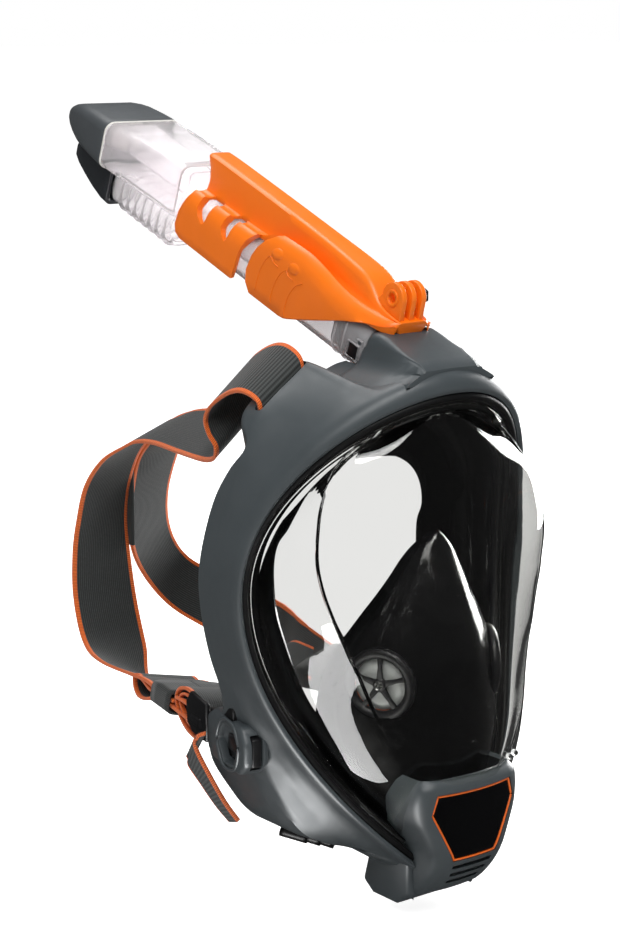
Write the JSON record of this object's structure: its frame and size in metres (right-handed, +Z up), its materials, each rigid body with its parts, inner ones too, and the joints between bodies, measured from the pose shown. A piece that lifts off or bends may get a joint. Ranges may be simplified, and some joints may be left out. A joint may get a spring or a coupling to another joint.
{
  "type": "full face snorkel mask",
  "caption": "Full face snorkel mask with curved clear window, rear-angled dry-top snorkel, camera clip and elastic head straps.",
  "frame": {"origin": "middle of the face seal's opening, where the face meets the skirt", "axes": "+Z up, the wearer looks along -Y, +X is the wearer's left"},
  "size_m": [0.19, 0.3407, 0.3998],
  "materials": {
    "frame_grey": "satin moulded",
    "lens_clear": "polished clear polycarbonate",
    "black_rubber": "soft",
    "black_silicone": "glossy silicone",
    "black_plastic": "gloss",
    "valve_clear": "frosted",
    "flap_silicone": "translucent silicone",
    "badge_black": "high gloss",
    "orange_trim": "satin",
    "clip_orange": "satin",
    "tube_clear": "clear polycarbonate",
    "cap_grey": "satin",
    "cap_dark": "satin",
    "steel": "brushed",
    "webbing": "woven elastic",
    "float_white": "foam"
  },
  "bodies": {
    "mask": {"frame": "frame_grey", "lens": "lens_clear", "lens_gasket": "black_rubber", "skirt_retainer": "black_plastic", "face_skirt": "black_silicone", "nose_cup": "black_silicone", "inhale_valve_seat_right": "valve_clear", "inhale_valve_seat_left": "valve_clear", "chin_cover": "frame_grey", "chin_badge": "badge_black", "chin_badge_trim": "orange_trim", "chin_base": "frame_grey", "purge_valve_seat": "black_plastic", "snorkel_hood": "frame_grey", "neck_spigot": "frame_grey", "neck_o_ring": "black_rubber", "strap_right": "webbing", "strap_left": "webbing", "strap_back_tape": "orange_trim"},
    "snorkel": {"snorkel_tube": "tube_clear", "air_divider": "tube_clear", "housing_divider": "tube_clear", "snorkel_housing": "tube_clear", "drain_chamber": "tube_clear", "top_cap": "cap_grey", "lower_cap": "cap_dark", "float_guide_rod": "tube_clear", "exhaust_flap": "flap_silicone", "camera_clip": "clip_orange", "camera_mount_nut": "steel"},
    "float": {"float": "float_white", "float_seal": "flap_silicone"},
    "inhale_valve_right": {"inhale_valve_disc_right": "flap_silicone"},
    "inhale_valve_left": {"inhale_valve_disc_left": "flap_silicone"},
    "purge_valve": {"purge_valve_disc": "flap_silicone"},
    "snap_hook_right": {"snap_hook_right": "black_plastic"},
    "snap_hook_left": {"snap_hook_left": "black_plastic"},
    "buckle_right": {"buckle_clip_right": "black_plastic", "strap_loop_right": "webbing", "strap_tail_right": "webbing", "strap_keeper_right": "webbing"},
    "buckle_button_right": {"buckle_button_right": "black_plastic"},
    "buckle_left": {"buckle_clip_left": "black_plastic", "strap_loop_left": "webbing", "strap_tail_left": "webbing", "strap_keeper_left": "webbing"},
    "buckle_button_left": {"buckle_button_left": "black_plastic"}
  },
  "joints": [
    {"name": "snorkel_pull", "type": "slide", "parent": "mask", "child": "snorkel", "axis": [0, 0.9367, 0.3502], "range_m": [0, 0.05]},
    {"name": "float_rise", "type": "slide", "parent": "snorkel", "child": "float", "axis": [0, 0.9367, 0.3502], "range_m": [0, 0.008]},
    {"name": "purge_valve_lift", "type": "slide", "parent": "mask", "child": "purge_valve", "axis": [0, -1, 0], "range_m": [0, 0.001], "stiffness_N_per_m": 60},
    {"name": "inhale_valve_lift_right", "type": "slide", "parent": "mask", "child": "inhale_valve_right", "axis": [0.866, 0.5, 0], "range_m": [0, 0.001], "stiffness_N_per_m": 60},
    {"name": "snap_hook_press_right", "type": "slide", "parent": "mask", "child": "snap_hook_right", "axis": [1, 0, 0], "range_m": [0, 0.002], "stiffness_N_per_m": 800},
    {"name": "buckle_pull_right", "type": "slide", "parent": "mask", "child": "buckle_right", "axis": [0.22, 0.9755, 0], "range_m": [0, 0.025]},
    {"name": "buckle_button_press_right", "type": "slide", "parent": "buckle_right", "child": "buckle_button_right", "axis": [0.9755, -0.22, 0], "range_m": [0, 0.002], "stiffness_N_per_m": 600},
    {"name": "inhale_valve_lift_left", "type": "slide", "parent": "mask", "child": "inhale_valve_left", "axis": [-0.866, 0.5, 0], "range_m": [0, 0.001], "stiffness_N_per_m": 60},
    {"name": "snap_hook_press_left", "type": "slide", "parent": "mask", "child": "snap_hook_left", "axis": [-1, 0, 0], "range_m": [0, 0.002], "stiffness_N_per_m": 800},
    {"name": "buckle_pull_left", "type": "slide", "parent": "mask", "child": "buckle_left", "axis": [-0.22, 0.9755, 0], "range_m": [0, 0.025]},
    {"name": "buckle_button_press_left", "type": "slide", "parent": "buckle_left", "child": "buckle_button_left", "axis": [-0.9755, -0.22, 0], "range_m": [0, 0.002], "stiffness_N_per_m": 600}
  ]
}
